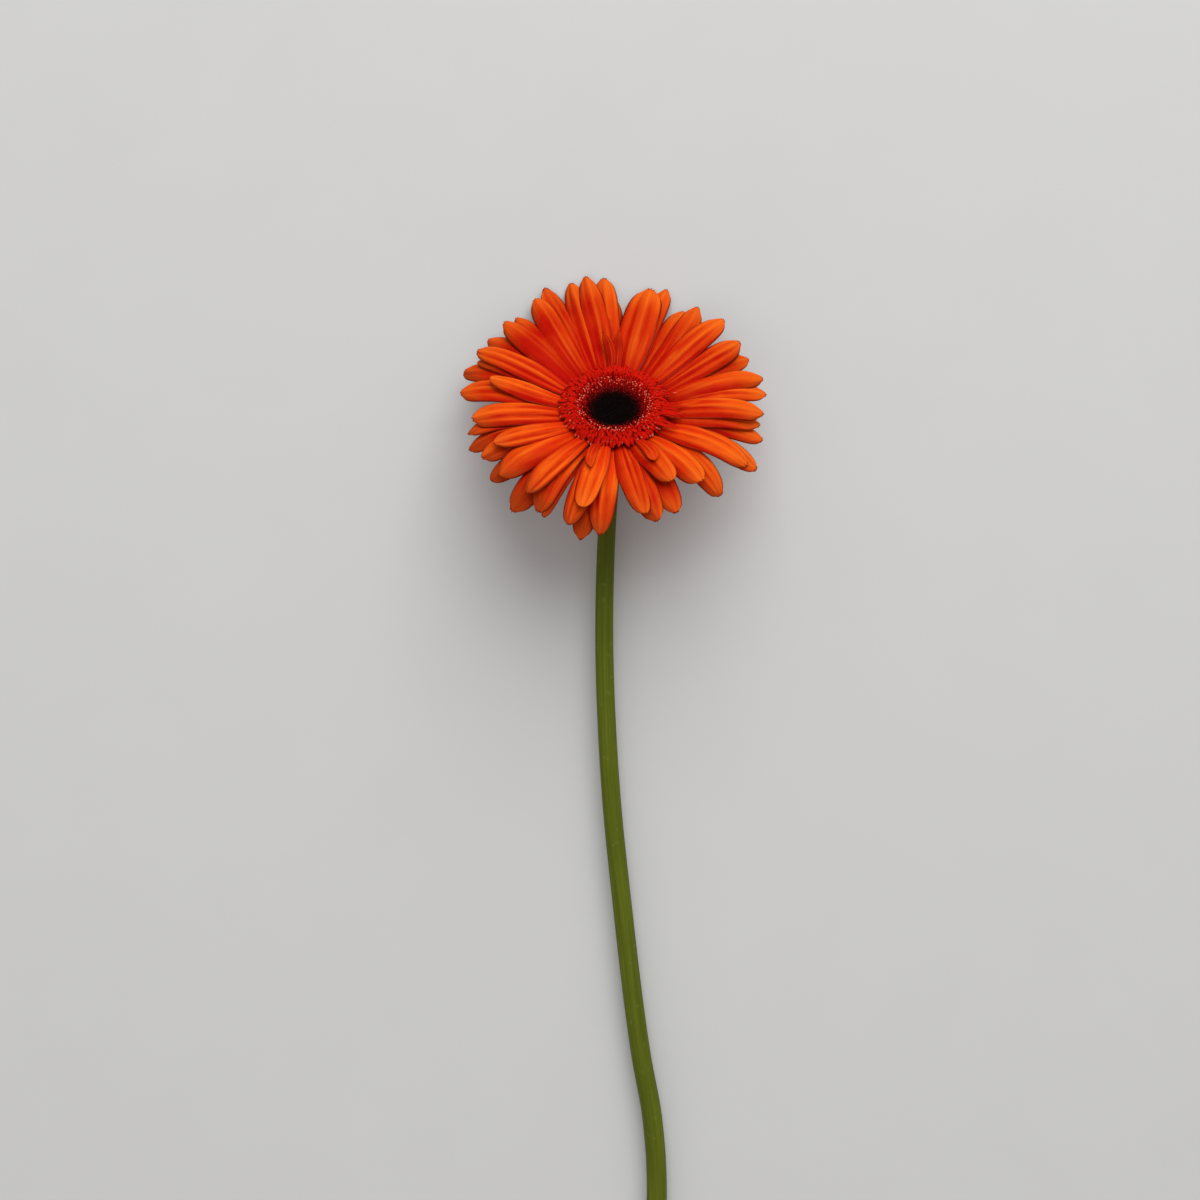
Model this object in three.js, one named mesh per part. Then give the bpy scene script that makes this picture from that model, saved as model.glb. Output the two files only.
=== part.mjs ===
// A cut gerbera lying on a flat surface, in millimetres, +Z up.
//
// The flower head leans back on the tips of its upper petals and the long stem runs away from it
// along -Y until its cut end touches the surface. The head is modelled in its own frame: the disc
// faces +z, the origin is where the head's axis meets the plane of the petal roots, and bearings
// count clockwise from +y. That frame is then tipped back by HEAD_TILT.

import * as THREE from 'three';

// ---- how the head is held ------------------------------------------------------------------------
const HEAD_TILT = 39;            // degrees between the disc's axis and straight up
const TOUCH_GAP = 0.3;           // air between two pieces that touch on the real flower

// ---- ray petals ----------------------------------------------------------------------------------
const PETAL_ROOT_R = 9.5;        // distance of the petal roots from the head's axis
const PETAL_FULL_R = 52;         // distance at which the lift values below hold
const PETAL_THICKNESS = 0.45;
const CLAW_WIDTH = 1.7;          // width of the narrow root of a petal
const PETAL_WIDEST = 0.66;       // share of a petal's length at which it is widest
const PETAL_TIP_BLUNTNESS = 0.16; // end width as a share of the widest width
const PETAL_ARCH = 0.4;          // how far a petal's edges hang below its middle
const TIER_ROOT_Z = -3.4;        // height of the lowest tier's roots
const TIER_ROOT_STEP = 0.9;      // height between two tiers at the roots
const TIER_TIP_STEP = 2.3;       // height between two tiers at the tips, beside the disc
const TIER_TIP_STEP_TOP = -0.7;  // change of that step towards the top of the head
const PETAL_RISE = 15;           // height that the first slope would reach at the full radius
const PETAL_RISE_LESS = 3;       // how much lower that height is at the top of the head
const TIP_LIFT = -2;             // tip height of the lowest tier, beside the disc
const TIP_LIFT_TOP = 6;          // extra tip height towards the top of the head
const TIP_LIFT_BOTH = 2.5;       // extra tip height towards the top and the bottom alike
const PETAL_LENGTH_STEPS = 8;
const PETAL_WIDTH_STEPS = 2;
const PETAL_STEP_CROWDING = 1.3; // above 1, the length steps crowd towards the tip

// One row for each ray petal, clockwise: bearing in degrees, reach from the axis, widest width, and
// tier, where tier 0 lies lowest. A fifth value is how far the surface that the flower lies on
// presses the tip up.
const RAY_PETALS = [
  [14.5, 54, 12.2, 2], [20, 56, 8.5, 1], [29, 51.5, 8.5, 0], [35, 52.5, 8.5, 2],
  [46.5, 54, 9, 3], [57, 53.5, 9.5, 2], [62.5, 54, 8.5, 0], [75, 54.5, 8.5, 2],
  [81, 54.5, 9, 1], [95, 52.5, 9, 3], [97, 51.5, 8.5, 1], [101.5, 53, 8, 0],
  [116, 55, 9, 1], [118, 52.5, 9.5, 2], [133, 50.5, 9.5, 0], [139.5, 46.5, 10, 2],
  [151.5, 41.5, 9, 3], [154, 49, 9.5, 0], [163, 51, 9, 1], [168, 49.5, 8.5, 2], [185.5, 53.5, 9, 1],
  [192.5, 54, 8.5, 0], [193, 49.5, 8.5, 3], [197, 53.5, 8.5, 2], [208.7, 51, 5.5, 0],
  [211, 51, 9.5, 1], [217, 50, 8, 3], [221.5, 53.5, 10, 0], [232.5, 50, 10.5, 2],
  [237, 51, 9, 0], [246, 50.5, 9, 1], [246, 46, 8.5, 3], [255, 52.5, 7, 0],
  [260, 52, 8, 1], [264, 50, 10.5, 2], [280, 55, 10.5, 1], [283.5, 45, 7.5, 3],
  [292, 57.5, 8.5, 0], [295.5, 53.5, 8.5, 1], [298, 55, 8.5, 2], [307.5, 56.5, 8, 0],
  [313.5, 54, 9, 2], [319, 53.5, 7.5, 1], [329.5, 55.5, 8.5, 2], [334.5, 57.5, 9, 1],
  [344, 55.5, 9, 2], [349.5, 56, 8.5, 3], [356.3, 55.5, 9, 1, 1.4], [359, 50, 9.5, 0],
];

// Small petals of the row between the ray petals and the disc: bearing, reach, width and how far
// the tip stands above the tier that they lie on.
const TOP_TIER = Math.max(...RAY_PETALS.map(([, , , tier]) => tier));
const INNER_PETAL_TIER = TOP_TIER + 1;
const INNER_PETALS = [
  [155, 33, 5, 0], [194, 33.5, 4, 0], [352, 30, 3.8, 4], [3, 30.5, 3.4, 4],
];

// ---- disc ----------------------------------------------------------------------------------------
const DISC_SEGMENTS = 32;
const RECEPTACLE_R = PETAL_ROOT_R - TOUCH_GAP;
const RECEPTACLE_TOP_Z = -0.5;
const RECEPTACLE_WALL_Z = -5.5;  // where the side wall turns into the cone
const RECEPTACLE_FOOT_Z = -13;
const RECEPTACLE_FOOT_R = 3.8;
const DISC_BASE_Z = RECEPTACLE_TOP_Z + TOUCH_GAP;
const EYE_R = 8;                 // closed buds in the middle
const EYE_ROOT_R = 5.6;
const EYE_TOP_Z = 1.2;
const RIM_R = 13.8;              // crest of the open disc florets
const RIM_Z = 4.4;
const RIM_WIDTH = 1.2;
const DISC_ROOT_R = 7.4;
const RING_R = 20;               // tips of the row of short strap florets round the disc
const RING_TIP_THICKNESS = 0.4;
const RING_CREST_Z = 4.1;
const RING_LIP = 1.4;            // radial depth of the drooping tips

// ---- bracts --------------------------------------------------------------------------------------
const BRACT_THICKNESS = 0.6;
const BRACT_WALL_R = RECEPTACLE_R + TOUCH_GAP + 0.2;
const BRACT_TIP_R = BRACT_WALL_R + 4.8;    // reach of the inner bracts, under the petal roots
const BRACT_TIP_Z = -3.9;
const BRACT_VALLEY_R = BRACT_WALL_R + 1.3; // where neighbouring bracts part
const BRACT_VALLEY_Z = -5;
const BRACTS_IN_A_ROW = 16;
const OUTER_BRACT_SHARE = 0.72;  // length of the outer bracts against the inner ones

// ---- stem ----------------------------------------------------------------------------------------
const STEM_NECK_R = 3.1;
const STEM_CUT_R = 3.75;
const STEM_FLARE_LENGTH = 14;    // length over which the stem widens into the receptacle
const STEM_NECK_STRAIGHT = 7;    // straight piece below the receptacle
const STEM_CLEARANCE = 5;        // air under the stem where it comes out from under the head
const STEM_SIDES = 12;
const STEM_STEPS = 40;
// The stem's line on the surface, from the first clear of the head to the cut: sideways, lengthways.
const STEM_LINE = [
  [-1.8, -30], [-2.9, -50], [-3.4, -75], [-2.9, -101], [-0.7, -138], [3, -174], [7.2, -210],
  [10.1, -230], [13.4, -248], [15.1, -266], [15.3, -284], [13.8, -316], [11.5, -352], [10, -396],
];

// ---- materials -----------------------------------------------------------------------------------
function finish(color, roughness) {
  return new THREE.MeshStandardMaterial({ color, roughness, metalness: 0 });
}

const PETAL_COLOURS = ['#d4420f', '#e4520f', '#ec5a12', '#f0641a'];   // by tier

function piece(name, geometry, material) {
  const mesh = new THREE.Mesh(geometry, material);
  mesh.name = name;
  return mesh;
}

// ---- petals --------------------------------------------------------------------------------------
function radians(degrees) {
  return degrees * Math.PI / 180;
}

// Height of a tier's middle surface at a radius and a bearing of the head. A cubic joins the first
// slope at the roots to the tip height, so no two tiers ever cross.
function tierHeight(radius, bearing, tier) {
  const along = (radius - PETAL_ROOT_R) / (PETAL_FULL_R - PETAL_ROOT_R);
  const up = Math.cos(bearing);
  const root = TIER_ROOT_Z + TIER_ROOT_STEP * tier;
  const tip = TIP_LIFT + TIP_LIFT_TOP * up + TIP_LIFT_BOTH * up * up
    + tier * (TIER_TIP_STEP + TIER_TIP_STEP_TOP * up);
  const rise = PETAL_RISE - PETAL_RISE_LESS * Math.max(up, 0) ** 2;
  return root + rise * along + (tip - root - rise) * along ** 3;
}

// Half the width of a petal at a share of its length: a narrow claw that widens along half a cosine
// wave, then a rounded end along a quarter of an ellipse.
function halfWidth(share, width) {
  const half = width / 2;
  if (share < PETAL_WIDEST) {
    const blend = (1 - Math.cos(Math.PI * share / PETAL_WIDEST)) / 2;
    return CLAW_WIDTH / 2 + (half - CLAW_WIDTH / 2) * blend;
  }
  const end = (share - PETAL_WIDEST) / (1 - PETAL_WIDEST);
  return half * Math.sqrt(1 - end * end * (1 - PETAL_TIP_BLUNTNESS ** 2));
}

// A petal is a thin box bent onto its tier's surface, from its root radius to its reach. tipLift
// raises its tip off the tier.
function petalGeometry(bearingDegrees, rootRadius, reach, width, tier, tipLift) {
  const geometry = new THREE.BoxGeometry(1, 1, 1, PETAL_WIDTH_STEPS, PETAL_LENGTH_STEPS, 1);
  const points = geometry.attributes.position;
  const bearing = radians(bearingDegrees);
  for (let i = 0; i < points.count; i += 1) {
    const across = points.getX(i) * 2;
    const share = 1 - (0.5 - points.getY(i)) ** PETAL_STEP_CROWDING;
    const radius = rootRadius + (reach - rootRadius) * share;
    const side = across * halfWidth(share, width);
    const x = radius * Math.sin(bearing) + side * Math.cos(bearing);
    const y = radius * Math.cos(bearing) - side * Math.sin(bearing);
    const arch = PETAL_ARCH * (side / (width / 2)) ** 2;
    const z = tierHeight(Math.hypot(x, y), Math.atan2(x, y), tier)
      + tipLift * share * share - arch + points.getZ(i) * PETAL_THICKNESS;
    points.setXYZ(i, x, y, z);
  }
  geometry.computeVertexNormals();
  return geometry;
}

function rayPetals() {
  return RAY_PETALS.map(([bearing, reach, width, tier, pressed = 0], i) => piece(
    `ray_petal_${String(i + 1).padStart(2, '0')}`,
    petalGeometry(bearing, PETAL_ROOT_R, reach, width, tier, pressed),
    finish(PETAL_COLOURS[tier], 0.6),
  ));
}

function innerPetals() {
  return INNER_PETALS.map(([bearing, reach, width, lift], i) => piece(
    `inner_petal_${i + 1}`,
    petalGeometry(bearing, RING_R + TOUCH_GAP, reach, width, INNER_PETAL_TIER, lift),
    finish('#d8350c', 0.6),
  ));
}

// ---- turned pieces of the head -------------------------------------------------------------------
// A profile of [radius, z] points, from the bottom of the outside round to the start, is turned
// about the head's axis.
function turned(profile, segments = DISC_SEGMENTS) {
  const geometry = new THREE.LatheGeometry(profile.map(([r, z]) => new THREE.Vector2(r, z)), segments);
  geometry.rotateX(Math.PI / 2);
  return geometry;
}

function receptacle() {
  return piece('receptacle', turned([
    [0, RECEPTACLE_FOOT_Z],
    [RECEPTACLE_FOOT_R, RECEPTACLE_FOOT_Z],
    [RECEPTACLE_R, RECEPTACLE_WALL_Z],
    [RECEPTACLE_R, RECEPTACLE_TOP_Z],
    [0, RECEPTACLE_TOP_Z],
  ]), finish('#7d8a3c', 0.7));
}

function eye() {
  return piece('eye', turned([
    [0, DISC_BASE_Z],
    [EYE_ROOT_R, DISC_BASE_Z],
    [EYE_R, EYE_TOP_Z],
    [0, EYE_TOP_Z],
  ]), finish('#140303', 0.8));
}

function discFlorets() {
  const inner = TOUCH_GAP * 1.5;
  return piece('disc_florets', turned([
    [EYE_ROOT_R + inner, DISC_BASE_Z],
    [DISC_ROOT_R, DISC_BASE_Z],
    [RIM_R - TOUCH_GAP, RIM_Z - 0.2],
    [RIM_R - RIM_WIDTH, RIM_Z],
    [EYE_R + inner, EYE_TOP_Z + 0.3],
    [EYE_ROOT_R + inner, DISC_BASE_Z],
  ]), finish('#a01a12', 0.75));
}

// The ring's underside clears the top tier of ray petals, both above and beside the disc.
function ringFlorets() {
  const inner = DISC_ROOT_R + TOUCH_GAP * 1.6;
  const petalTop = Math.max(tierHeight(RING_R, 0, TOP_TIER), tierHeight(RING_R, Math.PI / 2, TOP_TIER));
  const underside = petalTop + PETAL_THICKNESS / 2 + TOUCH_GAP;
  return piece('ring_florets', turned([
    [inner, DISC_BASE_Z],
    [RECEPTACLE_R, DISC_BASE_Z],
    [RING_R - RING_TIP_THICKNESS, underside],
    [RING_R, underside + RING_TIP_THICKNESS],
    [RING_R - RING_LIP, RING_CREST_Z],
    [RIM_R + 0.6, RIM_Z],
    [inner, DISC_BASE_Z],
  ]), finish('#c41d10', 0.65));
}

// ---- bracts --------------------------------------------------------------------------------------
// A row of green bracts is one cup whose upper edge runs up into a point for each bract. share
// shortens the bracts and layer counts how many rows lie inside this one.
function bractRow(name, share, layer, color) {
  const step = BRACT_THICKNESS + TOUCH_GAP;
  const out = layer * step;
  const footR = RECEPTACLE_FOOT_R + TOUCH_GAP + 0.2 + out;
  const footZ = RECEPTACLE_FOOT_Z - out / 2;
  const wallR = BRACT_WALL_R + out * 0.8;
  const wallZ = RECEPTACLE_WALL_Z - TOUCH_GAP - out;
  const geometry = turned([
    [footR, footZ],
    [footR + BRACT_THICKNESS, footZ - BRACT_THICKNESS / 2],
    [wallR + BRACT_THICKNESS, wallZ - BRACT_THICKNESS],
    [BRACT_TIP_R, BRACT_TIP_Z],
    [wallR, wallZ],
    [footR, footZ],
  ], BRACTS_IN_A_ROW * 2);
  // Every tip vertex slides along the bract: to its point on one spoke, to the valley on the next.
  const points = geometry.attributes.position;
  for (let i = 0; i < points.count; i += 1) {
    const radius = Math.hypot(points.getX(i), points.getY(i));
    if (radius < BRACT_TIP_R - 1e-3) continue;
    const angle = Math.atan2(points.getX(i), points.getY(i));
    const spoke = Math.round(angle / Math.PI * BRACTS_IN_A_ROW);
    const pointed = Math.abs(spoke % 2) === layer % 2;
    const length = pointed ? share : 0;
    const reach = THREE.MathUtils.lerp(BRACT_VALLEY_R, BRACT_TIP_R, length);
    const height = THREE.MathUtils.lerp(BRACT_VALLEY_Z, BRACT_TIP_Z, length) - out * (pointed ? 1 : 1.5);
    points.setXYZ(i, reach * Math.sin(angle), reach * Math.cos(angle), height);
  }
  geometry.computeVertexNormals();
  return piece(name, geometry, finish(color, 0.7));
}

// ---- stem ----------------------------------------------------------------------------------------
// The stem leaves the receptacle along the head's axis, bends level and sinks slowly to the surface
// that the petal tips rest on.
function stem(surfaceZ) {
  const axis = new THREE.Vector3(0, 0, -1).applyAxisAngle(new THREE.Vector3(1, 0, 0), -radians(HEAD_TILT));
  const top = axis.clone().multiplyScalar(-RECEPTACLE_FOOT_Z + TOUCH_GAP);
  const neckEnd = top.clone().addScaledVector(axis, STEM_NECK_STRAIGHT);
  const [, startY] = STEM_LINE[1];
  const [, endY] = STEM_LINE[STEM_LINE.length - 1];
  const line = STEM_LINE.map(([x, y]) => {
    const share = THREE.MathUtils.clamp((y - startY) / (endY - startY), 0, 1);
    const height = (STEM_NECK_R + STEM_CLEARANCE) * (1 - share) + STEM_CUT_R * share;
    return new THREE.Vector3(x, y, surfaceZ + height);
  });
  const path = new THREE.CatmullRomCurve3([top, neckEnd, ...line], false, 'centripetal');
  const length = path.getLength();
  const geometry = new THREE.CylinderGeometry(1, 1, 1, STEM_SIDES, STEM_STEPS);
  const points = geometry.attributes.position;
  for (let i = 0; i < points.count; i += 1) {
    const share = 0.5 - points.getY(i);
    const along = share * length;
    const flare = Math.max(0, 1 - along / STEM_FLARE_LENGTH) ** 2;
    const radius = STEM_NECK_R + (STEM_CUT_R - STEM_NECK_R) * share
      + (RECEPTACLE_FOOT_R - STEM_NECK_R) * flare;
    const centre = path.getPointAt(share);
    const tangent = path.getTangentAt(share);
    const side = new THREE.Vector3(1, 0, 0).addScaledVector(tangent, -tangent.x).normalize();
    const up = new THREE.Vector3().crossVectors(side, tangent);
    centre.addScaledVector(side, points.getX(i) * radius).addScaledVector(up, -points.getZ(i) * radius);
    points.setXYZ(i, centre.x, centre.y, centre.z);
  }
  geometry.computeVertexNormals();
  return piece('stem', geometry, finish('#55641a', 0.55));
}

// ---- assembly ------------------------------------------------------------------------------------
function lowestPoint(object) {
  object.updateMatrixWorld(true);
  return new THREE.Box3().setFromObject(object, true).min.z;
}

const head = new THREE.Group();
head.rotation.x = -radians(HEAD_TILT);
head.add(...rayPetals(), ...innerPetals());
const surfaceZ = lowestPoint(head);
head.add(receptacle(), eye(), discFlorets(), ringFlorets());
head.add(bractRow('bracts_inner', 1, 0, '#6f7d33'), bractRow('bracts_outer', OUTER_BRACT_SHARE, 1, '#66752c'));

// The origin is the middle of the flower's box, on the surface that it lies on.
const flower = new THREE.Group();
flower.add(head, stem(surfaceZ));
flower.updateMatrixWorld(true);
const box = new THREE.Box3().setFromObject(flower, true);
const middle = box.getCenter(new THREE.Vector3());
flower.position.set(-middle.x, -middle.y, -box.min.z);

const gerbera = new THREE.Group();
gerbera.add(flower);
export default gerbera;
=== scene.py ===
import math

import bpy
import numpy as np
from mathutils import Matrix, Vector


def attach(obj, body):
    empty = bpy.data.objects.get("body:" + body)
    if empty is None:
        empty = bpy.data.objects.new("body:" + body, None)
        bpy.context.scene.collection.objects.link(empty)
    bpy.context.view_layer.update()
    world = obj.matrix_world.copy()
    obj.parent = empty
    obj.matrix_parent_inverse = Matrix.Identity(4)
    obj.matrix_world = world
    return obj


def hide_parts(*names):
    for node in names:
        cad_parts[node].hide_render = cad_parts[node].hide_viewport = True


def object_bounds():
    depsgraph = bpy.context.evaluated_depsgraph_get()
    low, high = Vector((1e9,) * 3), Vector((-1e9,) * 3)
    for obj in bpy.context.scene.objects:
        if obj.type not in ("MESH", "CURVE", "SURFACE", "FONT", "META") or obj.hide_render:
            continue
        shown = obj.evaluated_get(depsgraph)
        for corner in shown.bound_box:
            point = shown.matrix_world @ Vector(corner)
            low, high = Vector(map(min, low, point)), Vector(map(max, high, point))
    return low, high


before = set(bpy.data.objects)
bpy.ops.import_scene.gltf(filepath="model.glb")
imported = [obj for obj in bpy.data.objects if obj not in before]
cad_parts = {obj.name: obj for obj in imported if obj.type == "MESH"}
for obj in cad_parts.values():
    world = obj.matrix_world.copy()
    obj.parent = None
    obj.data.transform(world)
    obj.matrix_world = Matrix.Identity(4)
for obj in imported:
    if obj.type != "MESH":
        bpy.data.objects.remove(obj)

cad_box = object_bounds()
MM = 0.001


# ---- The head's own frame -------------------------------------------------------------------------
# The flower lies on its back. Its face looks up and leans back, so the head has axes of its own:
# a to the right, b up the face, c straight out of the face. They start where the petals are rooted,
# and the eye, which is turned about c, shows where that is.
HEAD_TILT = math.radians(39)
EYE_TOP = 1.2
A_AXIS = np.array([1.0, 0.0, 0.0])
B_AXIS = np.array([0.0, math.cos(HEAD_TILT), -math.sin(HEAD_TILT)])
C_AXIS = np.array([0.0, math.sin(HEAD_TILT), math.cos(HEAD_TILT)])


def find_head():
    """The head's origin in metres: half way across the eye along a and b, and EYE_TOP below the
    eye's highest point along c."""
    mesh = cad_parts["eye"].data
    flat = np.empty(len(mesh.vertices) * 3)
    mesh.vertices.foreach_get("co", flat)
    turn = np.array(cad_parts["eye"].matrix_world)
    points = flat.reshape(-1, 3) @ turn[:3, :3].T + turn[:3, 3]
    a = points @ A_AXIS
    b = points @ B_AXIS
    c = points @ C_AXIS
    middle = (a.min() + a.max()) / 2 * A_AXIS + (b.min() + b.max()) / 2 * B_AXIS
    return middle + (c.max() - EYE_TOP * MM) * C_AXIS


HEAD = find_head()


def on_head(out, bearing, height, side=0.0):
    """Points in metres from millimetres on the head: out along a bearing, which runs clockwise from b,
    then to the side of that bearing, and height along c."""
    a = out * np.sin(bearing) + side * np.cos(bearing)
    b = out * np.cos(bearing) - side * np.sin(bearing)
    return HEAD + MM * (a[..., None] * A_AXIS + b[..., None] * B_AXIS + height[..., None] * C_AXIS)


# ---- Camera ---------------------------------------------------------------------------------------
# It hangs above the lying flower and looks straight down, with the head near the top of the view and
# the stem running out of the bottom.
VIEW_HEIGHT = 1.15
VIEW_WIDTH = 0.42
VIEW_CENTRE = (-0.0049, -0.0658)
SENSOR = 36.0

camera_data = bpy.data.cameras.new("camera")
camera_data.sensor_width = SENSOR
camera_data.lens = SENSOR * VIEW_HEIGHT / VIEW_WIDTH
camera_data.clip_start = 0.01
camera_data.clip_end = 20.0
camera = bpy.data.objects.new("camera", camera_data)
camera.location = (HEAD[0] + VIEW_CENTRE[0], HEAD[1] + VIEW_CENTRE[1], HEAD[2] + VIEW_HEIGHT)
bpy.context.scene.collection.objects.link(camera)
bpy.context.scene.camera = camera


# ---- Stem -----------------------------------------------------------------------------------------
# One bare, slightly ribbed green stalk. It grows out of the receptacle along the head's axis, bends
# level and sinks to its cut end, which shows the pale pith round a small hollow.
STEM_NECK_R = 3.1
STEM_CUT_R = 3.75
STEM_FOOT_R = 3.8
STEM_TOP = -13.3
STEM_FLARE = 14.0
STEM_STRAIGHT = 7.0
STEM_CLEARANCE = 5.0
# The stem's way along the floor, from the head's origin: to the right and towards the head's top.
STEM_LINE = np.array([
    [-1.8, -30], [-2.9, -50], [-3.4, -75], [-2.9, -101], [-0.7, -138], [3, -174], [7.2, -210],
    [10.1, -230], [13.4, -248], [15.1, -266], [15.3, -284], [13.8, -316], [11.5, -352], [10, -396],
])
STEM_RINGS = 300
STEM_SIDES = 64
RIBS = 11
RIB_DEPTH = 0.013
OVAL_DEPTH = 0.008
# Past its last ring the skin turns in over the cut: rounded edge, pith, rim of the hollow and its
# floor. These are shares of the stem's radius and millimetres along it from the ring.
CUT_EDGE = 0.09
CUT_RADII = np.array([0.985, 0.955, 0.9, 0.7, 0.5, 0.34, 0.3, 0.27, 0.12])
CUT_DEPTHS = np.array([0.06, 0.09, 0.08, 0.02, 0.0, -0.05, -0.5, -1.6, -1.9])


def skins(name, rings, uv, tint=None):
    """A mesh of closed tubes. rings is an array (tubes, rings, sides, 3): neighbouring rings are joined
    by quads and each end ring is closed to its own middle. uv is (tubes, rings, sides + 1, 2), with the
    last column repeating the first one's place, and tint has a number for each tube or each point."""
    tubes, count, sides, _ = rings.shape
    ends = rings[:, [0, -1]].mean(axis=2)
    points = np.concatenate([rings.reshape(tubes, -1, 3), ends], axis=1)
    start = (np.arange(tubes) * (count * sides + 2))[:, None, None]
    row = np.arange(count - 1)[None, :, None] * sides
    column = np.arange(sides)[None, None, :]
    after = (column + 1) % sides
    quads = np.stack([start + row + column, start + row + after,
                      start + row + sides + after, start + row + sides + column], axis=-1)
    quad_uv = np.stack([uv[:, :-1, :-1], uv[:, :-1, 1:], uv[:, 1:, 1:], uv[:, 1:, :-1]], axis=-2)
    fans = []
    fan_uv = []
    for end, ring in ((0, 0), (1, count - 1)):
        hub = start[:, 0] + count * sides + end + 0 * column[0]
        rim = start[:, 0] + ring * sides
        hub_uv = np.broadcast_to(uv[:, ring, :-1].mean(axis=1)[:, None], (tubes, sides, 2))
        corners = [hub, rim + after[0], rim + column[0]]
        corner_uv = [hub_uv, uv[:, ring, 1:], uv[:, ring, :-1]]
        if end:
            corners = [corners[0], corners[2], corners[1]]
            corner_uv = [corner_uv[0], corner_uv[2], corner_uv[1]]
        fans.append(np.stack(corners, axis=-1).reshape(-1, 3))
        fan_uv.append(np.stack(corner_uv, axis=-2).reshape(-1, 3, 2))
    quads = quads.reshape(-1, 4)
    quad_uv = quad_uv.reshape(-1, 4, 2)
    fans = np.concatenate(fans)
    fan_uv = np.concatenate(fan_uv)
    flat = points.reshape(-1, 3)
    corner = flat[np.concatenate([quads[:, :3], quads[:, [0, 2, 3]], fans])] - flat[0]
    volume = np.einsum("ij,ij->", corner[:, 0], np.cross(corner[:, 1], corner[:, 2]))
    if volume < 0:
        quads, quad_uv = quads[:, ::-1], quad_uv[:, ::-1]
        fans, fan_uv = fans[:, ::-1], fan_uv[:, ::-1]
    mesh = bpy.data.meshes.new(name)
    mesh.from_pydata(flat.tolist(), [], quads.tolist() + fans.tolist())
    layer = mesh.uv_layers.new(name="strip")
    layer.data.foreach_set("uv", np.concatenate([quad_uv.reshape(-1), fan_uv.reshape(-1)]))
    if tint is not None:
        each = tint.reshape(tubes, -1) + np.zeros((tubes, count * sides))
        shade = mesh.attributes.new("tint", "FLOAT", "POINT")
        shade.data.foreach_set("value", np.concatenate([each, each[:, [0, -1]]], axis=1).reshape(-1))
    mesh.polygons.foreach_set("use_smooth", np.ones(len(mesh.polygons), dtype=bool))
    mesh.update()
    piece = bpy.data.objects.new(name, mesh)
    bpy.context.scene.collection.objects.link(piece)
    return piece


def round_uv(tubes, count, sides):
    """The plain map of a tube: across runs round it from 0 to 1 and along runs from 0 to 1."""
    around, along = np.meshgrid(np.linspace(0, 1, sides + 1), np.linspace(0, 1, count))
    return np.broadcast_to(np.stack([around, along], axis=-1), (tubes, count, sides + 1, 2))


def fit(piece, node, material):
    """Puts a finished piece on the flower in place of its CAD node."""
    piece.data.materials.append(material)
    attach(piece, "root")
    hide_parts(node)


class Wire:
    """A socket of a material. Sums, products and the like of wires and numbers add Math nodes."""

    def __init__(self, tree, socket=None):
        self.tree = tree
        self.socket = socket

    def node(self, kind, settings=None, inputs=None, out=0):
        """Adds a node: its settings first, then the values or links of its sockets."""
        made = self.tree.nodes.new(kind)
        for key, value in (settings or {}).items():
            if key == "stops":
                ramp = made.color_ramp
                for _ in value[2:]:
                    ramp.elements.new(0.5)
                for element, (place, color) in zip(ramp.elements, value):
                    element.position = place
                    element.color = (*color, 1.0)
            else:
                setattr(made, key, value)
        for key, value in (inputs or {}).items():
            if isinstance(value, Wire):
                self.tree.links.new(value.socket, made.inputs[key])
            elif isinstance(value, tuple) and made.inputs[key].type == "RGBA":
                made.inputs[key].default_value = (*value, 1.0)
            else:
                made.inputs[key].default_value = value
        return Wire(self.tree, made.outputs[out] if made.outputs else None)

    def maths(self, operation, first, second=0.0):
        return self.node("ShaderNodeMath", {"operation": operation}, {0: first, 1: second})

    def __add__(self, other):
        return self.maths("ADD", self, other)

    def __sub__(self, other):
        return self.maths("SUBTRACT", self, other)

    def __rsub__(self, other):
        return self.maths("SUBTRACT", other, self)

    def __mul__(self, other):
        return self.maths("MULTIPLY", self, other)

    def __abs__(self):
        return self.maths("ABSOLUTE", self)

    __radd__ = __add__

    def ramp(self, low, high):
        """0 below low, 1 above high and smooth between."""
        return self.node("ShaderNodeMapRange", {"interpolation_type": "SMOOTHSTEP"},
                         {"Value": self, "From Min": low, "From Max": high})

    def tone(self, stops):
        """The colour that a ramp of stops gives for this value."""
        return self.node("ShaderNodeValToRGB", {"stops": stops}, {"Fac": self})

    def mix(self, first, second):
        """first where this value is 0, second where it is 1."""
        return self.node("ShaderNodeMix", {"data_type": "RGBA"}, {0: self, 6: first, 7: second}, 2)


def new_material(name):
    """An empty material, its start wire, the two measures of the strip map, across and along, and the
    place of a point in the piece."""
    material = bpy.data.materials.new(name)
    material.use_nodes = True
    material.node_tree.nodes.clear()
    start = Wire(material.node_tree)
    strip = start.node("ShaderNodeUVMap", {"uv_map": "strip"})
    across = start.node("ShaderNodeSeparateXYZ", None, {0: strip}, 0)
    along = start.node("ShaderNodeSeparateXYZ", None, {0: strip}, 1)
    where = start.node("ShaderNodeTexCoord", None, None, 3)
    return material, start, across, along, where


def surface(start, color, roughness, height, bump, subsurface=0.0, glow=(1.0, 0.2, 0.1), scale=0.001,
            sheen=0.0, specular=0.5):
    """Ends a material: colour, roughness and a bump of the given height in metres."""
    normal = start.node("ShaderNodeBump", None, {"Height": height, "Distance": bump, "Strength": 1.0})
    shader = start.node("ShaderNodeBsdfPrincipled", None, {
        "Base Color": color, "Roughness": roughness, "Normal": normal, "Subsurface Weight": subsurface,
        "Subsurface Radius": glow, "Subsurface Scale": scale, "Sheen Weight": sheen,
        "Specular IOR Level": specular,
    })
    start.node("ShaderNodeOutputMaterial", None, {"Surface": shader})


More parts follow.
